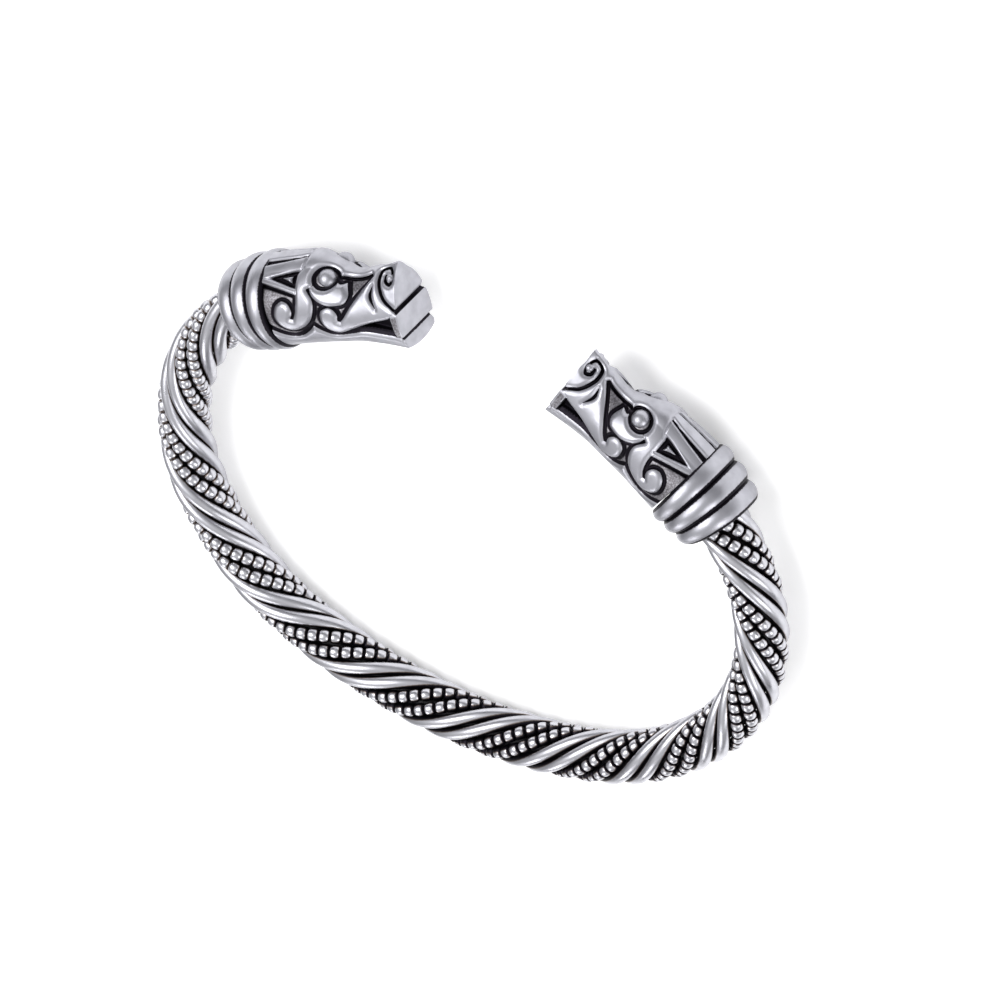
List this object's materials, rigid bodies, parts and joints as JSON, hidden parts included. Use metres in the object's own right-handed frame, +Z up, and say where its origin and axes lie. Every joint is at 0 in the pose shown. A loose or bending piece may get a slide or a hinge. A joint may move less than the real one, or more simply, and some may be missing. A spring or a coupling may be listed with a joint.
{
  "type": "viking arm ring",
  "caption": "Open twisted-wire arm ring: smooth and beaded strands wound round a core, ringed collars and mirrored beast-head terminals facing across the gap.",
  "frame": {"origin": "on the surface the ring lies on, under the middle of its bounding box", "axes": "+X from the left head to the right head, +Y from the back of the band to the gap, +Z up from the surface the ring lies on"},
  "size_m": [0.0729, 0.0562, 0.0102],
  "materials": {
    "cast_silver": "antiqued silver casting, bright and glossy on the raised relief, black in the recesses",
    "smooth_wire": "polished antiqued silver round wire, black where strands meet",
    "beaded_wire": "antiqued silver beaded wire, bright bead tops and black between the beads",
    "darkened_core": "blackened silver, seen only between the strands"
  },
  "bodies": {
    "root": {"core_rod": "darkened_core", "smooth_strand_1": "smooth_wire", "smooth_strand_2": "smooth_wire", "smooth_strand_3": "smooth_wire", "smooth_strand_4": "smooth_wire", "beaded_strand_1": "beaded_wire", "beaded_strand_2": "beaded_wire", "beaded_strand_3": "beaded_wire", "beaded_strand_4": "beaded_wire", "collar_left": "cast_silver", "collar_right": "cast_silver", "head_left": "cast_silver", "head_right": "cast_silver"}
  },
  "joints": []
}
